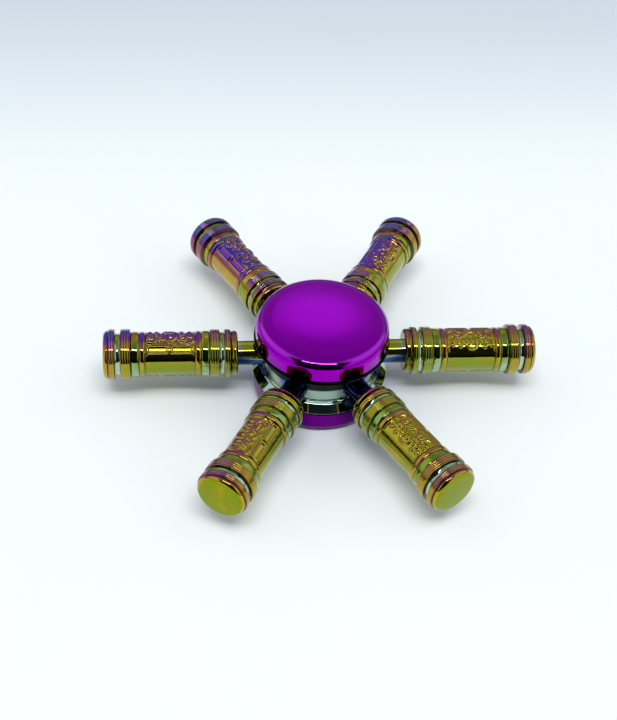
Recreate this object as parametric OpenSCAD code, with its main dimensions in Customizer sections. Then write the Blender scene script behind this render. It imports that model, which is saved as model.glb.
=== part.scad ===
// Six-arm fidget spinner. A spool-shaped hub turns on a small ball bearing, two
// finger caps clamp the bearing's inner race, and six ringed barrels stand out
// from the hub on threaded studs.
// Frame: millimetres, +Z up along the spin axis, origin at the centre of the
// bottom cap's resting face, first arm along +X.

/* [Overall] */
// Number of arms
arm_count = 6; // [3:1:6]
// Distance from the spin axis to the tip of an arm
arm_reach = 37.6; // [37:0.1:42]
// Thickness over both finger caps
overall_h = 16.4; // [16:0.1:18]

/* [Finger caps] */
// Diameter of a finger cap
cap_d = 23; // [20:0.5:24]
// Thickness of a finger cap
cap_h = 4.3; // [4:0.1:4.5]
// Radius of the top cap's rounded shoulder
cap_shoulder_r = 1.9; // [1:0.1:2.2]
// Radius of the soft blend between that shoulder and the crown
cap_blend_r = 7; // [5:0.5:8]
// Slope at the edge of the gentle crown, in degrees
cap_crown_slope = 3.2; // [2:0.1:4]
// Radius of the bottom cap's shoulder
foot_shoulder_r = 1.5; // [0.8:0.1:2]
// Running gap between a cap and the hub
cap_gap = 0.3; // [0.2:0.05:0.5]
// Diameter of the screw that joins the caps
cap_screw_d = 3.9; // [3:0.1:3.9]

/* [Hub] */
// Diameter of the hub's flanges
flange_d = 23.5; // [23.5:0.5:24.5]
// Height of a flange, from the hub's face to the top of its lip
flange_h = 1.4; // [1.3:0.05:1.6]
// Height of the upright rim at the flange's edge
rim_h = 0.15; // [0.15:0.05:0.4]
// Radius of the lip between the flange's cone and the groove
lip_r = 0.4; // [0.3:0.05:0.5]
// Diameter at the bottom of the groove
waist_d = 20; // [19:0.1:20]
// Radius in the corners of the groove
groove_fillet_r = 0.25; // [0.2:0.05:0.3]

/* [Bearing] */
// Outer diameter of the bearing
bearing_od = 12.7; // [12.7:0.1:12.7]
// Bore of the bearing
bearing_id = 6.35; // [6.35:0.05:6.35]
// Width of the bearing
bearing_w = 4.763; // [4.763:0.1:4.763]
// Diameter of a ball
ball_d = 1.588; // [1.5:0.001:1.588]
// Number of balls
ball_count = 10; // [6:1:10]

/* [Studs] */
// Diameter of a stud's shank
stud_d = 4.2; // [3.6:0.1:4.2]
// Diameter of the thread on both ends of a stud
stud_thread_d = 3; // [2.6:0.1:3.2]
// Pitch of the threads
thread_pitch = 0.5; // [0.4:0.05:0.7]
// Length of the thread that holds the barrel
barrel_thread_l = 6; // [4:0.5:8]

/* [Barrels] */
// Distance from the spin axis to the inner end of a barrel
barrel_start = 14.5; // [14:0.1:15]
// Diameter of the two rings at the hub end
inner_ring_d = 8.36; // [8:0.02:8.6]
// Diameter of the two rings at the tip
outer_ring_d = 8.86; // [8.6:0.02:9.2]
// Diameter at the bottom of the grooves between rings
root_d = 7.6; // [7.2:0.1:7.8]
// Diameter of the plain bands beside the rings
band_d = 7.9; // [7.7:0.05:8]
// Diameter of the barrel's middle
core_d = 7.3; // [6.8:0.1:7.6]
// Height of the raised borders at the ends of the middle
border_h = 0.27; // [0.2:0.01:0.4]
// Depth of the fine grooves turned in the wide rings
striation_h = 0.1; // [0.05:0.01:0.15]

/* [Hidden] */
$fn = 96;
arc_fn = 720;
crown_fn = 360;
race_edge_fn = 32;
eps = 0.01;
mid_z = overall_h / 2;
hub_h = overall_h - 2 * (cap_h + cap_gap);
hub_z = cap_h + cap_gap;
ledge_w = 0.65;
overrun = 1;
spot_face_play = 0.02;
bearing_z = mid_z - bearing_w / 2;
lip_x = flange_d / 2 - (flange_h - lip_r - rim_h) - 2 * lip_r * cos(45);
groove_half_w = hub_h / 2 - flange_h;

// bearing: the races' shoulders stand 0.15 mm past the balls' contact points
pitch_r = (bearing_od + bearing_id) / 4;
race_play = 0.02;
groove_r = ball_d / 2 + race_play;
shoulder_h = 0.15;
inner_shoulder_r = pitch_r - ball_d / 2 + shoulder_h;
outer_shoulder_r = pitch_r + ball_d / 2 - shoulder_h;
race_edge = 0.2;
cage_t = 0.6;
cage_h = 2.2;
pocket_play = 0.05;
pocket_r = ball_d / 2 + pocket_play;

// caps
boss_inset = 0.15;
boss_r = inner_shoulder_r - boss_inset;
spigot_play = 0.01;
spigot_r = bearing_id / 2 - spigot_play;
spigot_end_gap = 0.1;
spigot_l = bearing_w / 2 - spigot_end_gap;
edge_chamfer = 0.2;
blend_slope = 14;
shoulder_x = cap_d / 2 - cap_shoulder_r;
blend_x = shoulder_x - (cap_blend_r - cap_shoulder_r) * sin(blend_slope);
crown_edge_x = blend_x + cap_blend_r * sin(cap_crown_slope);
crown_r = crown_edge_x / sin(cap_crown_slope);
blend_y = cap_h - (crown_r - cap_blend_r) * (1 - cos(cap_crown_slope)) - cap_blend_r;
shoulder_y = blend_y + (cap_blend_r - cap_shoulder_r) * cos(blend_slope);
screw_l = 4.8;
screw_play = 0.05;
hole_runout = 0.6;

// studs
spot_face_depth = 0.4;
spot_face_r = waist_d / 2 - spot_face_depth;
stud_tail_l = 2.6;
thread_play = 0.05;
thread_depth = 0.3;

// barrels, along their own axis from the inner end: [start, width, diameter, edge radius]
barrel_l = arm_reach - barrel_start;
ring_edge_r = 0.22;
wide_ring_w = 1.7;
inner_ring_start = 1.25;
inner_ring_w = 1.05;
wide_inner_start = 3.1;
outer_ring_from_tip = 2.1;
outer_ring_start = barrel_l - outer_ring_from_tip;
outer_ring_w = 1.1;
wide_outer_from_tip = 4.75;
wide_outer_start = barrel_l - wide_outer_from_tip;
band_w = 1.5;
band_edge_r = 0.3;
border_w = 1;
band_in_start = wide_inner_start + wide_ring_w;
band_out_start = wide_outer_start - band_w;
border_d = core_d + 2 * border_h;
turned_rings = [
  [inner_ring_start, inner_ring_w, inner_ring_d, ring_edge_r],
  [wide_inner_start, wide_ring_w, inner_ring_d, ring_edge_r],
  [band_in_start, band_w, band_d, band_edge_r],
  [band_in_start + band_w, border_w, border_d, border_h],
  [band_out_start - border_w, border_w, border_d, border_h],
  [band_out_start, band_w, band_d, band_edge_r],
  [wide_outer_start, wide_ring_w, outer_ring_d, ring_edge_r],
  [outer_ring_start, outer_ring_w, outer_ring_d, ring_edge_r]];
start_disc_inset = 0.3;
start_disc_d = inner_ring_d - 2 * start_disc_inset;
start_disc_w = 1.3;
start_chamfer = 0.5;
end_disc_inset = 0.25;
end_disc_d = outer_ring_d - 2 * end_disc_inset;
end_disc_w = 1.5;
end_round_r = 0.7;
end_crown_h = 0.12;
end_flat_r = end_disc_d / 2 - end_round_r;
end_crown_r = (pow(end_flat_r, 2) + pow(end_crown_h, 2)) / (2 * end_crown_h);

ball_names = [for (i = [1 : ball_count]) str("bearing_ball_", i)];
stud_names = [for (i = [1 : arm_count]) str("arm_stud_", i)];
barrel_names = [for (i = [1 : arm_count]) str("arm_barrel_", i)];

// ---- shared shapes -------------------------------------------------------

// Half section of a disc of radius r and height h, with all its edges rounded by e.
module rounded_disc_2d(r, h, e) {
  square([r - e, h]);
  translate([0, e]) square([r, h - 2 * e]);
  translate([r - e, e]) circle(e);
  translate([r - e, h - e]) circle(e);
}

// A thread drawn as a row of V grooves around a rod along +Z.
module threaded_rod(d, l) {
  turns = floor(l / thread_pitch);
  rotate_extrude()
    polygon(concat(
      [[0, 0]],
      [for (i = [0 : turns - 1], s = [0, 1])
        [d / 2 - (s == 0 ? thread_depth : 0), (i + s / 2) * thread_pitch]],
      [[d / 2 - thread_depth, turns * thread_pitch], [d / 2 - thread_depth, l], [0, l]]));
}

// Puts what is drawn along +Z at the angle of arm i, along that arm.
module along_arm(i) {
  rotate([0, 0, (i - 1) * 360 / arm_count])
    translate([0, 0, mid_z])
      rotate([0, 90, 0])
        children();
}

// ---- finger caps ---------------------------------------------------------

// Half section of the lower part of a cap's disc, inner face at 0, up to height h.
module cap_disc_2d(h) {
  r = cap_d / 2;
  polygon([[0, 0], [r - edge_chamfer, 0], [r, edge_chamfer], [r, h], [0, h]]);
}

// Part of a disc of radius r about (x, y) that lies between x = from and x = to.
module arc_slice_2d(x, y, r, from, to) {
  intersection() {
    translate([x, y]) circle(r, $fn = arc_fn);
    translate([from, 0]) square([to - from, cap_h]);
  }
}

// Half section of the top cap's disc: crown, blend and shoulder run into each other.
module top_disc_2d() {
  blend_end_x = blend_x + cap_blend_r * sin(blend_slope);
  cap_disc_2d(shoulder_y);
  arc_slice_2d(0, cap_h - crown_r, crown_r, 0, crown_edge_x);
  arc_slice_2d(blend_x, blend_y, cap_blend_r, crown_edge_x, blend_end_x);
  arc_slice_2d(shoulder_x, shoulder_y, cap_shoulder_r, blend_end_x, cap_d / 2);
}

// Half section of the bottom cap's disc, flat on its outer face.
module bottom_disc_2d() {
  e = foot_shoulder_r;
  r = cap_d / 2;
  cap_disc_2d(cap_h - e);
  square([r - e, cap_h]);
  translate([r - e, cap_h - e]) circle(e);
}

// Boss that meets the inner race and spigot that centres the cap in its bore.
module cap_boss(boss_h) {
  translate([0, 0, -boss_h]) cylinder(r = boss_r, h = boss_h + eps);
  translate([0, 0, -boss_h - spigot_l]) cylinder(r = spigot_r, h = spigot_l + eps);
}

module finger_cap_top() {
  boss_h = overall_h - cap_h - (bearing_z + bearing_w);
  color("darkviolet")
    translate([0, 0, overall_h - cap_h]) {
      rotate_extrude() top_disc_2d();
      cap_boss(boss_h);
      translate([0, 0, -boss_h - spigot_l - screw_l]) threaded_rod(cap_screw_d, screw_l + eps);
    }
}

module finger_cap_bottom() {
  boss_h = bearing_z - cap_h;
  color("darkviolet")
    translate([0, 0, cap_h])
      rotate([180, 0, 0])
        difference() {
          union() {
            rotate_extrude() bottom_disc_2d();
            cap_boss(boss_h);
          }
          translate([0, 0, -boss_h - spigot_l - eps])
            cylinder(d = cap_screw_d + 2 * screw_play, h = screw_l + hole_runout);
        }
}

// ---- hub -----------------------------------------------------------------

// Half section of the lower flange: face, upright rim, 45 degree cone, round lip.
module flange_2d() {
  rf = flange_d / 2;
  s = lip_r * cos(45);
  polygon([[0, 0], [rf - edge_chamfer / 2, 0], [rf, edge_chamfer / 2], [rf, rim_h],
           [rf - (flange_h - lip_r - rim_h) - s, flange_h - lip_r + s],
           [lip_x, flange_h], [0, flange_h]]);
  translate([lip_x, flange_h - lip_r]) circle(lip_r);
}

// Half section of the spool with its round-cornered groove.
module spool_2d() {
  for (side = [0, 1])
    mirror([0, side])
      translate([0, -hub_h / 2]) flange_2d();
  difference() {
    translate([0, -hub_h / 2 + eps]) square([waist_d / 2 + groove_fillet_r, hub_h - 2 * eps]);
    translate([waist_d / 2, -groove_half_w + groove_fillet_r])
      square([groove_fillet_r + overrun, 2 * (groove_half_w - groove_fillet_r)]);
    for (side = [-1, 1])
      translate([waist_d / 2 + groove_fillet_r, side * (groove_half_w - groove_fillet_r)])
        circle(groove_fillet_r);
  }
}

module hub_spool() {
  color("slategray")
    difference() {
      translate([0, 0, mid_z]) rotate_extrude() spool_2d();
      translate([0, 0, bearing_z]) cylinder(d = bearing_od, h = hub_h);
      translate([0, 0, hub_z - overrun]) cylinder(r = bearing_od / 2 - ledge_w, h = hub_h);
      for (i = [1 : arm_count]) {
        along_arm(i) translate([0, 0, bearing_od / 2 - overrun])
          cylinder(d = stud_thread_d + 2 * thread_play, h = waist_d / 2);
        along_arm(i) translate([0, 0, spot_face_r])
          cylinder(d = stud_d + 2 * spot_face_play, h = flange_d / 2);
      }
    }
}

// ---- bearing -------------------------------------------------------------

// Half section of a race between two radii, centred on the balls' plane.
module race_2d(r_in, r_out) {
  difference() {
    translate([r_in, -bearing_w / 2]) {
      translate([race_edge, 0]) square([r_out - r_in - 2 * race_edge, bearing_w]);
      translate([0, race_edge]) square([r_out - r_in, bearing_w - 2 * race_edge]);
      for (x = [race_edge, r_out - r_in - race_edge], y = [race_edge, bearing_w - race_edge])
        translate([x, y]) circle(race_edge, $fn = race_edge_fn);
    }
    translate([pitch_r, 0]) circle(groove_r);
  }
}

module bearing_outer_race() {
  color("silver") translate([0, 0, mid_z])
    rotate_extrude() race_2d(outer_shoulder_r, bearing_od / 2);
}

module bearing_inner_race() {
  color("silver") translate([0, 0, mid_z])
    rotate_extrude() race_2d(bearing_id / 2, inner_shoulder_r);
}

// Centre of ball i, reached from the bearing's centre.
module at_ball(i) {
  rotate([0, 0, (i - 1) * 360 / ball_count]) translate([pitch_r, 0, mid_z]) children();
}

module bearing_cage() {
  color("goldenrod")
    difference() {
      translate([0, 0, mid_z - cage_h / 2])
        rotate_extrude() translate([pitch_r - cage_t / 2, 0]) square([cage_t, cage_h]);
      for (i = [1 : ball_count]) at_ball(i) sphere(pocket_r);
    }
}

module bearing_ball(i) {
  color("gainsboro") at_ball(i) sphere(d = ball_d);
}

// ---- arms ----------------------------------------------------------------

module arm_stud(i) {
  shank_l = barrel_start - spot_face_r;
  color("lightsteelblue")
    along_arm(i) translate([0, 0, spot_face_r]) {
      cylinder(d = stud_d, h = shank_l);
      mirror([0, 0, 1]) threaded_rod(stud_thread_d, stud_tail_l);
      translate([0, 0, shank_l - eps]) threaded_rod(stud_thread_d, barrel_thread_l);
    }
}

// Half section of a barrel's fine grooves, two in each wide ring.
module striations_2d() {
  for (ring = turned_rings)
    if (ring[1] == wide_ring_w)
      for (share = [1 / 3, 2 / 3])
        translate([ring[2] / 2, ring[0] + ring[1] * share])
          rotate(45)
            square(striation_h * sqrt(2), center = true);
}

// Half section of a barrel along +Y, from its inner end at 0 to its tip.
module barrel_2d() {
  difference() {
    union() {
      for (ring = turned_rings)
        translate([0, ring[0]]) rounded_disc_2d(ring[2] / 2, ring[1], ring[3]);
      translate([0, inner_ring_start]) square([root_d / 2, band_in_start - inner_ring_start]);
      translate([0, band_out_start]) square([root_d / 2, outer_ring_start - band_out_start]);
      square([core_d / 2, barrel_l - end_disc_w]);
    }
    striations_2d();
  }
  // chamfered disc where the stud enters
  polygon([[0, 0], [start_disc_d / 2 - start_chamfer, 0], [start_disc_d / 2, start_chamfer],
           [start_disc_d / 2, start_disc_w], [0, start_disc_w]]);
  // domed disc at the tip
  translate([0, barrel_l - end_crown_h - end_disc_w])
    rounded_disc_2d(end_disc_d / 2, end_disc_w, end_round_r);
  intersection() {
    square([end_flat_r, barrel_l]);
    translate([0, barrel_l - end_crown_r]) circle(end_crown_r, $fn = crown_fn);
  }
}

module arm_barrel(i) {
  color("olive")
    along_arm(i) translate([0, 0, barrel_start])
      difference() {
        rotate_extrude() barrel_2d();
        translate([0, 0, -overrun])
          cylinder(d = stud_thread_d + 2 * thread_play, h = barrel_thread_l + hole_runout + overrun);
      }
}

// ---- assembly ------------------------------------------------------------

finger_cap_top();
finger_cap_bottom();
hub_spool();
bearing_outer_race();
bearing_inner_race();
bearing_cage();
for (i = [1 : ball_count]) bearing_ball(i);
for (i = [1 : arm_count]) arm_stud(i);
for (i = [1 : arm_count]) arm_barrel(i);
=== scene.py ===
"""Looks for the six-arm fidget spinner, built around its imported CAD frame.

The caps, hub, studs and bearing are the CAD parts with their own materials. The six
barrels are detailed castings with a relief panel, which stand for the plain CAD barrels.
Lengths are in millimetres where the barrels and the camera are made, and in metres in the
materials, the floor and the lights.
"""

import math

import bpy
import numpy as np
from mathutils import Matrix, Vector


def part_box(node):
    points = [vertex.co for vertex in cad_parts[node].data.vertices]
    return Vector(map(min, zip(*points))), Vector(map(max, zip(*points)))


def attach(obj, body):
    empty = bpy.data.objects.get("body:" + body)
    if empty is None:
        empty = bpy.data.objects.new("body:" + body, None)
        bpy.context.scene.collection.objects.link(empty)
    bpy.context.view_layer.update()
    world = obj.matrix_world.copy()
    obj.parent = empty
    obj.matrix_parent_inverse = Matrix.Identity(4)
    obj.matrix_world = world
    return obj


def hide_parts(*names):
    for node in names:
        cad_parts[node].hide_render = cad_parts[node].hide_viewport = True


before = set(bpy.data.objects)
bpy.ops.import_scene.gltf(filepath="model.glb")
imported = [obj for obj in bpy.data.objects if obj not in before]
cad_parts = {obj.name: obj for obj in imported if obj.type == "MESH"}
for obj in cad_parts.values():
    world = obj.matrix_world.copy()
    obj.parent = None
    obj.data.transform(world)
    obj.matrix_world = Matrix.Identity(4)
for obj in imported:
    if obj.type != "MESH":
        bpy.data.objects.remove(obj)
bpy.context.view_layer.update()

MM = 0.001
ARMS = 6

# Sizes read from the frame: the barrels' in millimetres, the hub's in metres.
barrel_low, barrel_high = (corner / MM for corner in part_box("arm_barrel_1"))
BARREL_START = barrel_low.x
BARREL_LENGTH = barrel_high.x - barrel_low.x
OUTER_RING_R = (barrel_high.z - barrel_low.z) / 2
MID_Z = (barrel_high.z + barrel_low.z) / 2
HUB_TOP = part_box("hub_spool")[1].z

# Turned sizes of a barrel, as in the CAD part, in millimetres from its inner end.
INNER_RING_R = OUTER_RING_R - 0.25
ROOT_R = 3.78
BAND_R = 3.95
CORE_R = 3.65
BORDER_R = CORE_R + 0.27
WIDE_RING = 1.7
BAND = 1.5
BORDER = 1.0
# how far the bands and the borders fall away at their edges
BAND_DROP = 0.16
BORDER_DROP = 0.22
RING_EDGE = 0.22
BORE_R = 1.55
BORE_DEPTH = 6.6
NARROW_IN = 1.25
NARROW_IN_END = 2.3
WIDE_IN = 3.1
WIDE_OUT = BARREL_LENGTH - 4.75
NARROW_OUT = BARREL_LENGTH - 2.1
NARROW_OUT_RING = 1.1
RELIEF_START = WIDE_IN + WIDE_RING + BAND + BORDER
RELIEF_END = WIDE_OUT - BAND - BORDER
# each raised ring: start, width, radius, fine lines turned into it
RINGS = (
    (NARROW_IN, NARROW_IN_END - NARROW_IN, INNER_RING_R, 1),
    (WIDE_IN, WIDE_RING, INNER_RING_R, 3),
    (WIDE_OUT, WIDE_RING, OUTER_RING_R, 3),
    (NARROW_OUT, NARROW_OUT_RING, OUTER_RING_R, 2),
)
# the relief's height as a share of what its shapes say, and half of a panel's width
RELIEF_SCALE = 0.8
PANEL_HALF = 3.4
# how finely the relief and the barrel are meshed
RELIEF_ROWS = 112
SEGMENTS = 208
# the disc where the stud enters, and the crowned tip
ENTRY_R = INNER_RING_R - 0.3
ENTRY_ROUND = 0.5
TIP_R = OUTER_RING_R - 0.25
TIP_ROUND = 0.7
TIP_CROWN = 0.12


# ---- outlines -------------------------------------------------------------


def arc(centre, radius, start, end, steps=5):
    """Points (along, out) on an arc, with its angles in degrees from the axis."""
    return [
        (
            centre[0] + radius * math.cos(math.radians(a)),
            centre[1] + radius * math.sin(math.radians(a)),
        )
        for a in np.linspace(start, end, steps + 1)
    ]


def line_places(start, width, lines):
    """Middles of the fine lines on a ring."""
    return [start + width * (i + 1) / (lines + 1) for i in range(lines)]


def ring(start, width, radius, lines):
    """A raised ring with round edges and a number of fine turned lines."""
    e = RING_EDGE
    # half of a fine line's section: distance from its middle, depth below the ring
    half_line = ((0.1, 0), (0.08, 0), (0.045, 0.02), (0.015, 0.045))
    points = [(start, ROOT_R)] + arc((start + e, radius - e), e, 180, 90)
    for middle in line_places(start, width, lines):
        points += [(middle - x, radius - y) for x, y in half_line]
        points += [(middle + x, radius - y) for x, y in reversed(half_line)]
    return points + arc((start + width - e, radius - e), e, 90, 0) + [(start + width, ROOT_R)]


def hollow(start, end, sag=0.14, steps=8):
    """The concave groove between two rings."""
    return [
        (start + (end - start) * t, ROOT_R - sag * math.sin(math.pi * t))
        for t in np.linspace(0.06, 0.94, steps)
    ]


def bead(start, end, radius, drop, steps=9):
    """A gently bulging band."""
    return [
        (start + (end - start) * t, radius - drop * (2 * t - 1) ** 4)
        for t in np.linspace(0.01, 0.99, steps)
    ]


def barrel_outline():
    """The barrel's outline from the bottom of its bore, out and along to the tip."""
    points = [(BORE_DEPTH, 0), (BORE_DEPTH, BORE_R), (0, BORE_R)]
    # steps across the entry disc keep its faces narrow
    points += [(0, 2.4), (0, 3.1)]
    points += arc((ENTRY_ROUND, ENTRY_R - ENTRY_ROUND), ENTRY_ROUND, 180, 90, 4)
    points += ring(*RINGS[0])
    points += hollow(NARROW_IN_END, WIDE_IN)
    points += ring(*RINGS[1])
    points += bead(WIDE_IN + WIDE_RING, RELIEF_START - BORDER, BAND_R, BAND_DROP)
    points += bead(RELIEF_START - BORDER, RELIEF_START, BORDER_R, BORDER_DROP)
    points += [(s, CORE_R) for s in np.linspace(RELIEF_START + 0.03, RELIEF_END - 0.03, RELIEF_ROWS)]
    points += bead(RELIEF_END, RELIEF_END + BORDER, BORDER_R, BORDER_DROP)
    points += bead(RELIEF_END + BORDER, WIDE_OUT, BAND_R, BAND_DROP)
    points += ring(*RINGS[2])
    points += hollow(WIDE_OUT + WIDE_RING, NARROW_OUT)
    points += ring(*RINGS[3])
    points += [(NARROW_OUT + NARROW_OUT_RING + 0.06, ROOT_R + 0.25)]
    flat_r = TIP_R - TIP_ROUND
    points += arc((BARREL_LENGTH - TIP_CROWN - TIP_ROUND, flat_r), TIP_ROUND, 90, 6, 8)
    # the crown of the tip, from its edge to the axis
    for t in (0.95, 0.8, 0.6, 0.4, 0.2, 0):
        points.append((BARREL_LENGTH - TIP_CROWN * t * t, flat_r * t))
    return points


# ---- relief ---------------------------------------------------------------


def smooth(x, low, high):
    """Rises smoothly from 0 at low to 1 at high."""
    t = np.clip((x - low) / (high - low), 0, 1)
    return t * t * (3 - 2 * t)


def distance_to(path, s, w):
    """Distance from every point (s, w) to a path of straight pieces."""
    best = np.full(np.broadcast(s, w).shape, 1e9)
    for (s0, w0), (s1, w1) in zip(path[:-1], path[1:]):
        ds, dw = s1 - s0, w1 - w0
        t = np.clip(((s - s0) * ds + (w - w0) * dw) / max(ds * ds + dw * dw, 1e-9), 0, 1)
        best = np.minimum(best, np.hypot(s - s0 - t * ds, w - w0 - t * dw))
    return best


def round_ridge(path, s, w, half):
    """A ridge with a round top along a path, from 0 to 1."""
    return np.sqrt(np.clip(1 - (distance_to(path, s, w) / half) ** 2, 0, 1))


def volute(centre, start_r, end_r, start_angle, turns, steps=40):
    """A spiral path, its angle in degrees from the barrel's axis."""
    return [
        (
            centre[0] + r * math.cos(math.radians(start_angle + 360 * turns * t)),
            centre[1] + r * math.sin(math.radians(start_angle + 360 * turns * t)),
        )
        for t in np.linspace(0, 1, steps)
        for r in [start_r + (end_r - start_r) * t]
    ]


def frame_ridge(s, w, low, high):
    """A ridge round a rectangle between two corners (s, w)."""
    middle = [(a + b) / 2 for a, b in zip(low, high)]
    half = [(b - a) / 2 for a, b in zip(low, high)]
    edge = np.maximum(np.abs(s - middle[0]) - half[0], np.abs(w - middle[1]) - half[1])
    return 0.27 * np.sqrt(np.clip(1 - (edge / 0.2) ** 2, 0, 1))


def panel_ridges():
    """The scrolls, strokes, knobs, ribs and bow: the height, half width and path of each."""
    # scrolls in the middle, joined by a wave
    scrolls = (
        volute((2.1, 0.1), 0.95, 0.2, 200, 1.35),
        volute((6.0, 0.0), 0.9, 0.2, 20, -1.3),
        [(2.9, -0.45), (3.5, 0.1), (4.0, 0.65), (4.6, 0.65), (5.2, 0.2)],
        [(0.35, 0.7), (0.9, 1.1), (1.7, 1.2)],
        [(6.9, 0.65), (7.5, 0.95), (8.1, 0.85)],
    )
    ridges = [(0.3, 0.24, path) for path in scrolls]
    # short slanted strokes
    for i in range(3):
        ridges.append((0.26, 0.15, [(7.05 + 0.4 * i, -0.75), (7.35 + 0.4 * i, 0.15)]))
    # knobs: along, across, radius
    knobs = (
        (3.6, 1.1, 0.3),
        (0.75, -0.3, 0.34),
        (4.2, -0.35, 0.34),
        (0.95, -2.1, 0.42),
        (2.3, -2.3, 0.42),
        (6.6, -2.5, 0.4),
        (7.7, -2.2, 0.42),
    )
    for along, across, radius in knobs:
        ridges.append((0.3, radius, [(along, across), (along, across)]))
    # ribs across the right side, with a bow below them
    for i in range(8):
        middle = 1.3 + 0.8 * i
        ridges.append((0.24, 0.22, [(middle, -1.15), (middle + 0.12, -1.5), (middle + 0.08, -1.85)]))
    bow = [(4.4 + 1.0 * math.cos(a), -1.9 - 0.95 * math.sin(a)) for a in np.linspace(0, math.pi, 13)]
    ridges.append((0.28, 0.22, bow))
    return ridges


def panel(s, w):
    """Height of the relief at s along and w round the barrel, from the panel's own start."""
    height = np.zeros(np.broadcast(s, w).shape)
    for rise, half, path in panel_ridges():
        height = np.maximum(height, rise * round_ridge(path, s, w, half))
    # two frames in line down the left side
    for low, high in (((0.45, 1.65), (4.05, 2.75)), ((4.75, 1.65), (8.1, 2.75))):
        height = np.maximum(height, frame_ridge(s, w, low, high))
    # zigzag lines at both ends
    wave = 0.14 * np.abs((w / 0.9) % 2 - 1)
    for line in (0.16 + wave, RELIEF_END - RELIEF_START - 0.16 - wave):
        height = np.maximum(height, 0.2 * np.sqrt(np.clip(1 - ((s - line) / 0.15) ** 2, 0, 1)))
    # the relief fades out at the panel's two sides
    return RELIEF_SCALE * height * smooth(PANEL_HALF - np.abs(w), 0, 0.35)


def relief(s, angle):
    """Height of the relief on the whole barrel: one panel above and one below."""
    inside = (s > RELIEF_START) & (s < RELIEF_END)
    upper = (angle + math.pi) % (2 * math.pi) - math.pi
    lower = angle % (2 * math.pi) - math.pi
    local = s - RELIEF_START
    return np.where(inside, panel(local, CORE_R * upper) + panel(local, CORE_R * lower), 0)


# the plating's loss in a fine line, half the line's width, and the gain for each mm of relief
LINE_LOSS = 0.45
LINE_HALF = 0.11
RELIEF_GAIN = 0.85
# painted shade in the creases: how dark at the feet of rings and how far it reaches, and how dark beside
# the relief
FOOT_PAINTED_SHADE = 0.75
FOOT_REACH = 0.17
RIDGE_PAINTED_SHADE = 0.8
# weight of the clear polish, and what there is of it on the tip's face
POLISH = 0.5
TIP_POLISH = 0.03


def coat(s, raised):
    """Change in the plating's thickness: less in hollows and bands, more on rings and relief."""
    tip = BARREL_LENGTH
    # from, to, change
    zones = (
        (0, NARROW_IN, 0.06),
        (NARROW_IN, NARROW_IN_END, 0.12),
        (NARROW_IN_END, WIDE_IN, -0.4),
        (WIDE_IN, WIDE_IN + WIDE_RING, 0.1),
        (WIDE_IN + WIDE_RING, RELIEF_START - BORDER, -0.27),
        (RELIEF_START - BORDER, RELIEF_START, 0.2),
        (RELIEF_START, RELIEF_END, 0.0),
        (RELIEF_END, RELIEF_END + BORDER, 0.22),
        (RELIEF_END + BORDER, WIDE_OUT, -0.25),
        (WIDE_OUT, WIDE_OUT + WIDE_RING, 0.32),
        (WIDE_OUT + WIDE_RING, NARROW_OUT, -0.4),
        (NARROW_OUT, NARROW_OUT + NARROW_OUT_RING, 0.45),
        (tip - 0.95, tip - 0.4, 0.28),
        (tip - 0.25, tip, 0.0),
    )
    places = [place for low, high, _ in zones for place in (low + 0.05, high - 0.05)]
    values = [value for _, _, value in zones for _ in range(2)]
    change = np.interp(s, places, values)
    for start, width, _, lines in RINGS:
        for middle in line_places(start, width, lines):
            change = change - LINE_LOSS * np.clip(1 - np.abs(s - middle) / LINE_HALF, 0, 1)
    return change + RELIEF_GAIN * raised


def painted_crease_shade(s, raised):
    """How dark the surface is painted at the feet of the rings and of the relief: painted shade in the
    creases.
    """
    ring_feet = [place for start, width, _, _ in RINGS for place in (start, start + width)]
    feet = (*ring_feet, RELIEF_START - BORDER, RELIEF_START, RELIEF_END, RELIEF_END + BORDER)
    nearest = np.min([np.abs(s - foot) for foot in feet], axis=0)
    beside_ridges = smooth(raised, 0.01, 0.04) * (1 - smooth(raised, 0.08, 0.14))
    return np.maximum(FOOT_PAINTED_SHADE * np.clip(1 - nearest / FOOT_REACH, 0, 1), RIDGE_PAINTED_SHADE * beside_ridges)


def polish(s):
    """Weight of the clear polish: even all over the barrel, but hardly any on the tip's face."""
    return POLISH - (POLISH - TIP_POLISH) * smooth(s, BARREL_LENGTH - 0.4, BARREL_LENGTH - 0.2)


def surface_values(s, raised):
    """What the plating's material reads at each point: its coat, painted crease shade and polish."""
    return {"coat": coat(s, raised), "painted_crease_shade": painted_crease_shade(s, raised), "polish": polish(s)}


# ---- meshes ---------------------------------------------------------------


def turned_faces(rows):
    """Faces of a closed turned mesh: rows of SEGMENTS points, then the two ends on the axis."""
    grid = np.arange(rows * SEGMENTS).reshape(rows, SEGMENTS)
    turned = np.roll(grid, -1, axis=1)
    quads = np.stack([grid[:-1], grid[1:], turned[1:], turned[:-1]], -1).reshape(-1, 4)
    first, last = rows * SEGMENTS, rows * SEGMENTS + 1
    faces = quads.tolist()
    faces += [(first, a, b) for a, b in zip(grid[0].tolist(), turned[0].tolist())]
    faces += [(last, b, a) for a, b in zip(grid[-1].tolist(), turned[-1].tolist())]
    return faces


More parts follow.
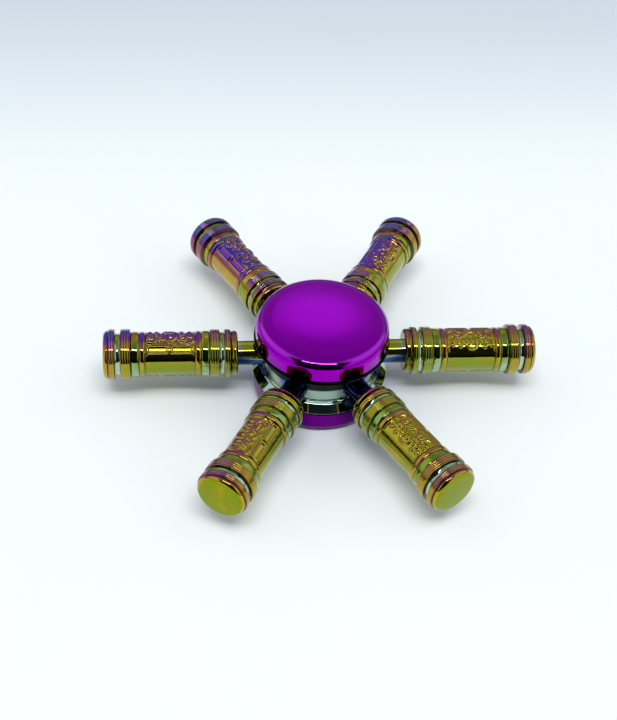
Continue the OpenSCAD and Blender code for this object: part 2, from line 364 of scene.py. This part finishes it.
def barrel(number):
    """One cast barrel on its arm: the outline turned round the arm's axis, with the relief on it."""
    turn = math.radians(360 / ARMS * (number - 1))
    along = np.array([math.cos(turn), math.sin(turn), 0])
    side = np.array([-math.sin(turn), math.cos(turn), 0])
    up = np.array([0, 0, 1.0])
    origin = along * BARREL_START + up * MID_Z
    # the outline starts and ends on the axis
    outline = barrel_outline()
    s = np.array([p[0] for p in outline[1:-1]])[:, None]
    angle = np.linspace(0, 2 * math.pi, SEGMENTS, endpoint=False)[None, :]
    raised = relief(s, angle)
    out = np.array([p[1] for p in outline[1:-1]])[:, None] + raised
    spot = (
        origin
        + s[..., None] * along
        + (out * np.cos(angle))[..., None] * up
        + (out * np.sin(angle))[..., None] * side
    )
    ends = [origin + outline[0][0] * along, origin + outline[-1][0] * along]
    points = np.vstack([spot.reshape(-1, 3), ends]) * MM
    name = f"cast_barrel_{number}"
    mesh = bpy.data.meshes.new(name)
    mesh.from_pydata(points.tolist(), [], turned_faces(len(s)))
    mesh.shade_smooth()
    obj = bpy.data.objects.new(name, mesh)
    bpy.context.scene.collection.objects.link(obj)
    on_axis = surface_values(np.array([0, BARREL_LENGTH]), np.zeros(2))
    for key, values in surface_values(s, raised).items():
        everywhere = np.append(np.broadcast_to(values, raised.shape), on_axis[key])
        mesh.attributes.new(key, "FLOAT", "POINT").data.foreach_set("value", everywhere)
    return obj


# ---- materials ------------------------------------------------------------


def node(tree, kind, values=None, **settings):
    """Adds a shader node. values sets or links its inputs, settings are its own properties."""
    made = tree.nodes.new(kind)
    for key, value in settings.items():
        setattr(made, key, value)
    for key, value in (values or {}).items():
        if isinstance(value, bpy.types.NodeSocket):
            tree.links.new(value, made.inputs[key])
        else:
            made.inputs[key].default_value = value
    return made


def math_node(tree, operation, a, b=0.0, c=0.0):
    return node(tree, "ShaderNodeMath", {0: a, 1: b, 2: c}, operation=operation).outputs[0]


def mapped(tree, value, low, high, to_low, to_high, smoothed=True):
    """Value mapped from low and high to to_low and to_high, and held beyond them."""
    kind = "SMOOTHSTEP" if smoothed else "LINEAR"
    values = {0: value, 1: low, 2: high, 3: to_low, 4: to_high}
    return node(tree, "ShaderNodeMapRange", values, interpolation_type=kind).outputs[0]


def noise(tree, vector, scale, detail=2.0, roughness=0.5):
    values = {"Vector": vector, "Scale": scale, "Detail": detail, "Roughness": roughness}
    return node(tree, "ShaderNodeTexNoise", values).outputs[0]


def ramp(tree, value, stops):
    """A colour ramp from (place, (r, g, b)) stops."""
    made = node(tree, "ShaderNodeValToRGB", {0: value})
    elements = made.color_ramp.elements
    while len(elements) < len(stops):
        elements.new(0.5)
    for element, (place, colour) in zip(elements, stops):
        element.position = place
        element.color = (*colour, 1)
    return made.outputs[0]


def dot(tree, vector, direction):
    values = {0: vector, 1: direction}
    return node(tree, "ShaderNodeVectorMath", values, operation="DOT_PRODUCT").outputs["Value"]


def mixed(tree, share, first, second, blend="MIX"):
    """The first colour, with a share of the second one mixed over it."""
    values = {0: share, 6: first, 7: second}
    return node(tree, "ShaderNodeMix", values, data_type="RGBA", blend_type=blend).outputs[2]


def bump(tree, height, strength, distance):
    values = {"Height": height, "Strength": strength, "Distance": distance}
    return node(tree, "ShaderNodeBump", values).outputs[0]


def metal(name):
    """A new metal: its material, node tree, shader and object-space coordinates."""
    made = bpy.data.materials.new(name)
    made.use_nodes = True
    tree = made.node_tree
    shader = tree.nodes["Principled BSDF"]
    shader.inputs["Metallic"].default_value = 1
    return made, tree, shader, node(tree, "ShaderNodeTexCoord").outputs


def violet_mirror(name, depth):
    """Violet plating over a polished cap, with faint handling haze and polishing waviness.

    depth scales the colour: the lower cap is painted a darker violet, which is painted shade, as it sits
    low in the table's shade.
    """
    made, tree, shader, at = metal(name)
    shader.inputs["Coat Roughness"].default_value = 0.04
    # a clear polish that is thickest on the rounded shoulder
    level = dot(tree, at["Normal"], (0, 0, 1))
    clear = mapped(tree, level, 0.6, 0.82, 0.0, 0.7)
    clear = math_node(tree, "MULTIPLY", clear, mapped(tree, level, 0.84, 0.95, 1.0, 0.02))
    tree.links.new(clear, shader.inputs["Coat Weight"])
    tone = noise(tree, at["Object"], 90, 1)
    tones = ((0.32, 0.0, 0.48), (0.36, 0.0, 0.52))
    tones = [tuple(depth * channel for channel in colour) for colour in tones]
    colour = ramp(tree, tone, ((0.3, tones[0]), (0.7, tones[1])))
    tree.links.new(colour, shader.inputs["Base Color"])
    haze = mapped(tree, noise(tree, at["Object"], 260, 4, 0.6), 0.45, 0.75, 0.03, 0.075)
    tree.links.new(haze, shader.inputs["Roughness"])
    wave = bump(tree, noise(tree, at["Object"], 180, 1), 0.04, 0.0002)
    tree.links.new(wave, shader.inputs["Normal"])
    return made


# heights of the painted shade on the fillet under the hub's upper flange
FILLET_LOW = HUB_TOP - 0.0035
FILLET_HIGH = HUB_TOP - 0.0031


def hub_chrome():
    """Polished chrome with a pale green cast and patches of heat colours."""
    made, tree, shader, at = metal("hub_chrome")
    tone = noise(tree, at["Object"], 130, 2)
    # heat colours in patches beside the front and rear studs
    sideways = math_node(tree, "ABSOLUTE", dot(tree, at["Object"], (1, 0, 0)))
    sideways = math_node(tree, "MULTIPLY_ADD", tone, 0.002, sideways)
    colour = ramp(
        tree,
        mapped(tree, sideways, 0.006, 0.010, 0.0, 1.0, False),
        (
            (0.05, (0.39, 0.53, 0.45)),
            (0.30, (0.06, 0.18, 0.50)),
            (0.55, (0.08, 0.22, 0.56)),
            (0.72, (0.46, 0.44, 0.30)),
            (0.90, (0.38, 0.50, 0.42)),
        ),
    )
    # painted shade: the fillet under the upper flange is painted near-black, for the shade and dark
    # reflection under the flange
    depth = dot(tree, at["Object"], (0, 0, 1))
    under_flange_painted_shade = mapped(tree, depth, FILLET_LOW, FILLET_HIGH, 0.0, 0.97)
    painted_shade_colour = (0.004, 0.006, 0.005, 1)
    tree.links.new(mixed(tree, under_flange_painted_shade, colour, painted_shade_colour), shader.inputs["Base Color"])
    haze = mapped(tree, noise(tree, at["Object"], 300, 3), 0.4, 0.8, 0.05, 0.11)
    tree.links.new(haze, shader.inputs["Roughness"])
    return made


def stud_metal():
    """Polished studs: gold, then pale, then blue towards the barrel and downwards; towards the front
    painted dark navy, a painted dark reflection of the hub and caps.
    """
    made, tree, shader, at = metal("stud_metal")
    level = node(
        tree, "ShaderNodeVectorMath", {0: at["Object"], 1: (1, 1, 0)}, operation="MULTIPLY"
    )
    reach = node(tree, "ShaderNodeVectorMath", {0: level.outputs[0]}, operation="LENGTH")
    reach = reach.outputs["Value"]
    outward = mapped(tree, reach, 0.0115, 0.0150, 0.0, 0.55, False)
    downward = mapped(tree, dot(tree, at["Normal"], (0, 0, -1)), -0.75, 0.2, 0.0, 0.75)
    # painted dark reflection: towards the front the studs are painted dark navy, for the dark hub and
    # caps they mirror
    front_painted_dark = mapped(tree, dot(tree, at["Object"], (0, -1, 0)), 0.003, 0.010, 0.0, 0.7)
    tone = math_node(tree, "ADD", outward, downward)
    tone = math_node(tree, "ADD", tone, front_painted_dark)
    colour = ramp(
        tree,
        tone,
        (
            (0.20, (0.36, 0.36, 0.02)),
            (0.38, (0.36, 0.40, 0.08)),
            (0.48, (0.42, 0.54, 0.52)),
            (0.60, (0.18, 0.30, 0.56)),
            (0.74, (0.04, 0.09, 0.34)),
            (1.00, (0.01, 0.02, 0.06)),
        ),
    )
    tree.links.new(colour, shader.inputs["Base Color"])
    haze = mapped(tree, noise(tree, at["Object"], 900), 0.3, 0.8, 0.05, 0.12)
    tree.links.new(haze, shader.inputs["Roughness"])
    return made


# colours of the plating from a thin film to a thick one
FILM = (
    (0.00, (0.46, 0.56, 0.44)),
    (0.09, (0.25, 0.38, 0.12)),
    (0.14, (0.21, 0.29, 0.01)),
    (0.22, (0.24, 0.27, 0.003)),
    (0.33, (0.44, 0.33, 0.004)),
    (0.45, (0.42, 0.18, 0.03)),
    (0.56, (0.30, 0.08, 0.10)),
    (0.68, (0.22, 0.01, 0.26)),
    (0.79, (0.10, 0.01, 0.47)),
    (0.89, (0.05, 0.07, 0.40)),
    (1.00, (0.05, 0.17, 0.22)),
)


# how much thicker the film grows in each metre towards the back, in front of the spin axis and
# behind it, and towards the left
GROWTH_AHEAD = 6.5
GROWTH_BEHIND = 12.0
GROWTH_LEFT = 4.0
FILM_AT_AXIS = 0.48
FILM_THINNEST = 0.27


def rainbow_plating():
    """Rainbow plating whose colour follows the coating's thickness.

    The coat is thicker on upward and backward (+Y) surfaces, and towards the back and the left.
    It changes more quickly behind the spin axis than in front of it.
    """
    made, tree, shader, at = metal("rainbow_plating")
    shader.inputs["Coat Roughness"].default_value = 0.03
    upward = dot(tree, at["Normal"], (-0.3, 0.5, 0.81))
    facing = mapped(tree, upward, 0.2, 0.95, -0.42, 0.08)
    ahead = dot(tree, at["Object"], (0, GROWTH_AHEAD, 0))
    behind = dot(tree, at["Object"], (0, GROWTH_BEHIND, 0))
    place = math_node(tree, "MAXIMUM", ahead, behind)
    place = math_node(tree, "ADD", place, dot(tree, at["Object"], (-GROWTH_LEFT, 0, 0)))
    cloud = mapped(tree, noise(tree, at["Object"], 400, 3), 0.3, 0.7, -0.05, 0.06, False)
    thickness = math_node(tree, "ADD", facing, place)
    thickness = math_node(tree, "ADD", thickness, FILM_AT_AXIS)
    thickness = math_node(tree, "SMOOTH_MAX", thickness, FILM_THINNEST, 0.1)
    thickness = math_node(tree, "ADD", thickness, mapped(tree, upward, -0.6, 0.2, -0.08, 0.0))
    thickness = math_node(tree, "ADD", thickness, cloud)
    # where the film is thick it grows least on the rings and loses most in the hollows, and
    # it grows least on surfaces that face down
    zone = node(tree, "ShaderNodeAttribute", attribute_name="coat").outputs["Fac"]
    growth = math_node(tree, "MULTIPLY_ADD", thickness, -0.6, 0.9)
    growth = math_node(tree, "MULTIPLY", growth, math_node(tree, "MAXIMUM", zone, 0.0))
    growth = math_node(tree, "MULTIPLY", growth, mapped(tree, upward, 0.1, 0.8, 0.6, 1.1))
    loss = math_node(tree, "ADD", thickness, 0.3)
    loss = math_node(tree, "MULTIPLY", loss, math_node(tree, "MINIMUM", zone, 0.0))
    thickness = math_node(tree, "ADD", thickness, growth)
    thickness = math_node(tree, "ADD", thickness, loss)
    polished = node(tree, "ShaderNodeAttribute", attribute_name="polish").outputs["Fac"]
    tree.links.new(polished, shader.inputs["Coat Weight"])
    # painted shade: the plating is painted near-black at the feet of the rings and beside the relief
    creases_shaded = node(tree, "ShaderNodeAttribute", attribute_name="painted_crease_shade").outputs["Fac"]
    colour = mixed(tree, creases_shaded, ramp(tree, thickness, FILM), (0.02, 0.02, 0.015, 1))
    tree.links.new(colour, shader.inputs["Base Color"])
    haze = mapped(tree, noise(tree, at["Object"], 900, 3), 0.3, 0.8, 0.05, 0.12)
    haze = math_node(tree, "MULTIPLY_ADD", creases_shaded, 0.15, haze)
    tree.links.new(haze, shader.inputs["Roughness"])
    skin = bump(tree, noise(tree, at["Object"], 1100, 2), 0.1, 0.0001)
    tree.links.new(skin, shader.inputs["Normal"])
    return made


def turned_steel(name, colour, roughness):
    """Ground steel or brass, a little mottled in colour and gloss."""
    made, tree, shader, at = metal(name)
    shade = tuple(0.85 * c for c in colour)
    tone = ramp(tree, noise(tree, at["Object"], 700, 2), ((0.3, shade), (0.7, colour)))
    tree.links.new(tone, shader.inputs["Base Color"])
    haze = mapped(tree, noise(tree, at["Object"], 1500, 2), 0.3, 0.8, roughness * 0.7, roughness * 1.4)
    tree.links.new(haze, shader.inputs["Roughness"])
    return made


def finish_with(material, *names):
    """Gives CAD nodes a material in every slot."""
    for name in names:
        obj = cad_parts[name]
        if not obj.material_slots:
            obj.data.materials.append(None)
        for slot in obj.material_slots:
            slot.material = material


finish_with(violet_mirror("violet_mirror", 1.0), "finger_cap_top")
# the lower cap's darker violet is painted shade
finish_with(violet_mirror("violet_mirror_painted_shade", 0.5), "finger_cap_bottom")
finish_with(hub_chrome(), "hub_spool")
finish_with(stud_metal(), *[f"arm_stud_{i + 1}" for i in range(ARMS)])
finish_with(
    turned_steel("race_steel", (0.62, 0.63, 0.65), 0.22), "bearing_outer_race", "bearing_inner_race"
)
finish_with(turned_steel("cage_brass", (0.70, 0.50, 0.20), 0.28), "bearing_cage")
finish_with(
    turned_steel("ball_steel", (0.72, 0.73, 0.75), 0.06),
    *[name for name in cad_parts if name.startswith("bearing_ball_")],
)
plating = rainbow_plating()
for i in range(ARMS):
    piece = barrel(i + 1)
    piece.data.materials.append(plating)
    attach(piece, "rotor")
    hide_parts(f"arm_barrel_{i + 1}")


# ---- stage, light and camera ----------------------------------------------

VIEW_AZIMUTH = -8.0
VIEW_ELEVATION = 44.2
VIEW_ROLL = 4.74
VIEW_DISTANCE = 240.1
VIEW_LENS = 66.0
# the point looked at: how far it is right of the spin axis, beyond it and above the floor
VIEW_AIM = (-1.95, 5.68, 0.42)


def around(azimuth, elevation):
    """Unit vector from the object at an azimuth, 0 towards -Y, and an elevation."""
    a, e = math.radians(azimuth), math.radians(elevation)
    return Vector((math.sin(a) * math.cos(e), -math.cos(a) * math.cos(e), math.sin(e)))


def make_camera():
    """The camera, at its distance from the point it looks at."""
    back = around(VIEW_AZIMUTH, VIEW_ELEVATION)
    right = Vector((0, 0, 1)).cross(back).normalized()
    up = back.cross(right)
    level = Matrix((right, up, back)).transposed()
    turned = level @ Matrix.Rotation(math.radians(VIEW_ROLL), 3, "Z")
    ahead = around(VIEW_AZIMUTH, 0) * -1
    aim = right * VIEW_AIM[0] + ahead * VIEW_AIM[1] + Vector((0, 0, VIEW_AIM[2]))
    data = bpy.data.cameras.new("camera")
    data.lens = VIEW_LENS
    data.sensor_width = 36
    data.clip_start, data.clip_end = 0.01, 20
    camera = bpy.data.objects.new("camera", data)
    camera.matrix_world = Matrix.Translation((aim + back * VIEW_DISTANCE) * MM) @ turned.to_4x4()
    bpy.context.scene.collection.objects.link(camera)
    bpy.context.scene.camera = camera


FLOOR_HALF = 4.0
# just below the resting face, so that the two faces are not one
FLOOR_DROP = 0.00002
# where the painted shade at the table's darker, bluer far end begins and is full, and the edges of the
# painted shade round the object
FAR_END = (0.055, 0.15)
PAINTED_SHADE_EDGE = (0.014, 0.028)


def make_floor():
    """A pale matt table top, with painted shade towards its far end and round the object."""
    mesh = bpy.data.meshes.new("floor")
    corners = [(x * FLOOR_HALF, y * FLOOR_HALF, 0) for x, y in ((-1, -1), (1, -1), (1, 1), (-1, 1))]
    mesh.from_pydata(corners, [], [(0, 1, 2, 3)])
    floor = bpy.data.objects.new("floor", mesh)
    floor.location.z = -FLOOR_DROP
    bpy.context.scene.collection.objects.link(floor)
    made = bpy.data.materials.new("pale_table")
    made.use_nodes = True
    tree = made.node_tree
    shader = tree.nodes["Principled BSDF"]
    shader.inputs["Roughness"].default_value = 0.9
    shader.inputs["Specular IOR Level"].default_value = 0.1
    at = node(tree, "ShaderNodeTexCoord").outputs
    tone = noise(tree, at["Object"], 12, 3)
    near = ramp(tree, tone, ((0.3, (0.84, 0.87, 0.88)), (0.7, (0.86, 0.885, 0.89))))
    tone = math_node(tree, "MULTIPLY", tone, 0.01)
    # painted shade: the table is painted darker and bluer towards its far end
    far_painted_shade = math_node(tree, "ADD", dot(tree, at["Object"], (0, 1, 0)), tone)
    far_painted_shade = mapped(tree, far_painted_shade, *FAR_END, 0.0, 1.0)
    colour = mixed(tree, far_painted_shade, near, (0.60, 0.645, 0.71, 1))
    # painted shade: a faint grey patch round the object
    reach = node(tree, "ShaderNodeVectorMath", {0: at["Object"]}, operation="LENGTH")
    outside_painted_shade = mapped(tree, reach.outputs["Value"], *PAINTED_SHADE_EDGE, 0.0, 1.0)
    shade = mixed(tree, outside_painted_shade, (0.88, 0.90, 0.945, 1), (1, 1, 1, 1))
    tree.links.new(mixed(tree, 1.0, colour, shade, "MULTIPLY"), shader.inputs["Base Color"])
    mesh.materials.append(made)


LAMP_AZIMUTH = 0.0
LAMP_ELEVATION = 73.0
LAMP_DISTANCE = 0.9
LAMP_SIZE = (0.6, 0.34)
LAMP_POWER = 4.2
# the bright strip in the room: its elevation, the sines of its half width and height, its strength
STRIP_ELEVATION = 66.0
STRIP_WIDE = 0.34
STRIP_TALL = 0.055
STRIP_POWER = 13.0
# the glow on the far wall: its elevation and strength
GLOW_ELEVATION = 41.5
GLOW_POWER = 0.62
# brightness of the far wall and the ceiling, and how dark the side behind the camera is
WALL = 0.52
DARK_SIDE = 0.97


def make_lamp():
    """A soft lamp high above the object, a little towards the camera."""
    data = bpy.data.lights.new("lamp", "AREA")
    data.shape = "RECTANGLE"
    data.size, data.size_y = LAMP_SIZE
    data.energy = LAMP_POWER
    data.color = (1.0, 0.985, 0.96)
    lamp = bpy.data.objects.new("lamp", data)
    back = around(LAMP_AZIMUTH, LAMP_ELEVATION)
    lamp.location = back * LAMP_DISTANCE
    lamp.rotation_mode = "QUATERNION"
    lamp.rotation_quaternion = (-back).to_track_quat("-Z", "Y")
    # what polished metal mirrors is the strip in the room below, which is not as harsh
    lamp.visible_glossy = False
    bpy.context.scene.collection.objects.link(lamp)


def make_room():
    """A plain room with pale walls and ceiling, and a dark side behind the camera.

    Polished metal mirrors two lights in it: a bright strip high in front of the object, and a
    soft glow on the far wall.
    """
    world = bpy.data.worlds.new("room")
    bpy.context.scene.world = world
    world.use_nodes = True
    tree = world.node_tree
    ray = node(tree, "ShaderNodeTexCoord").outputs["Generated"]
    height = dot(tree, ray, (0, 0, 1))
    front = dot(tree, ray, tuple(around(VIEW_AZIMUTH, 0)))
    across = tuple(around(VIEW_AZIMUTH + 90, 0))
    side = math_node(tree, "ABSOLUTE", dot(tree, ray, across))
    # the walls to both sides are brighter than the far wall and the ceiling
    beside = mapped(tree, math_node(tree, "MULTIPLY_ADD", front, 1.1, side), 0.0, 0.2, 0.0, 1.0)
    aside = mapped(tree, side, 0.25, 0.45, 0.0, 0.5)
    wall = math_node(tree, "MULTIPLY_ADD", beside, aside, WALL)
    # the skirting is dark in front, less so along the far wall and the sides
    skirting = mapped(tree, front, -0.9, -0.5, 0.4, 0.05)
    skirting = math_node(tree, "MULTIPLY_ADD", beside, mapped(tree, side, 0.45, 0.7, 0.0, 0.5), skirting)
    sky = math_node(tree, "MULTIPLY", mapped(tree, height, 0.12, 0.34, skirting, 1.0), wall)
    # the ceiling is a little darker than the far wall
    ceiling = mapped(tree, height, 0.74, 0.92, 1.0, 0.84)
    sky = math_node(tree, "MULTIPLY", sky, ceiling)
    # the dark side behind the camera is only as wide as someone standing there
    blocked = mapped(tree, front, 0.16, 0.36, 0.0, DARK_SIDE)
    blocked = math_node(tree, "MULTIPLY", blocked, mapped(tree, side, 0.5, 0.7, 1.0, 0.0))
    sky = math_node(tree, "MULTIPLY", sky, math_node(tree, "SUBTRACT", 1.0, blocked))
    glow = dot(tree, ray, tuple(around(VIEW_AZIMUTH + 180, GLOW_ELEVATION)))
    window = math_node(tree, "POWER", mapped(tree, glow, 0.990, 0.9999, 0.0, 1.0), 2)
    sky = math_node(tree, "MULTIPLY_ADD", window, GLOW_POWER, sky)
    # the strip lies across the view, square to this direction
    beyond = tuple(around(VIEW_AZIMUTH + 180, 90 - STRIP_ELEVATION))
    tall = math_node(tree, "ABSOLUTE", dot(tree, ray, beyond))
    strip = mapped(tree, side, STRIP_WIDE * 0.85, STRIP_WIDE, STRIP_POWER, 0.0)
    strip = math_node(tree, "MULTIPLY", strip, mapped(tree, tall, STRIP_TALL * 0.7, STRIP_TALL, 1.0, 0.0))
    strip = math_node(tree, "MULTIPLY", strip, mapped(tree, height, 0.0, 0.1, 0.0, 1.0))
    sky = math_node(tree, "ADD", sky, strip)
    background = tree.nodes["Background"]
    tree.links.new(sky, background.inputs["Strength"])
    background.inputs["Color"].default_value = (0.87, 0.945, 1.0, 1)


make_camera()
make_floor()
make_lamp()
make_room()
bpy.context.scene.view_settings.view_transform = "Standard"
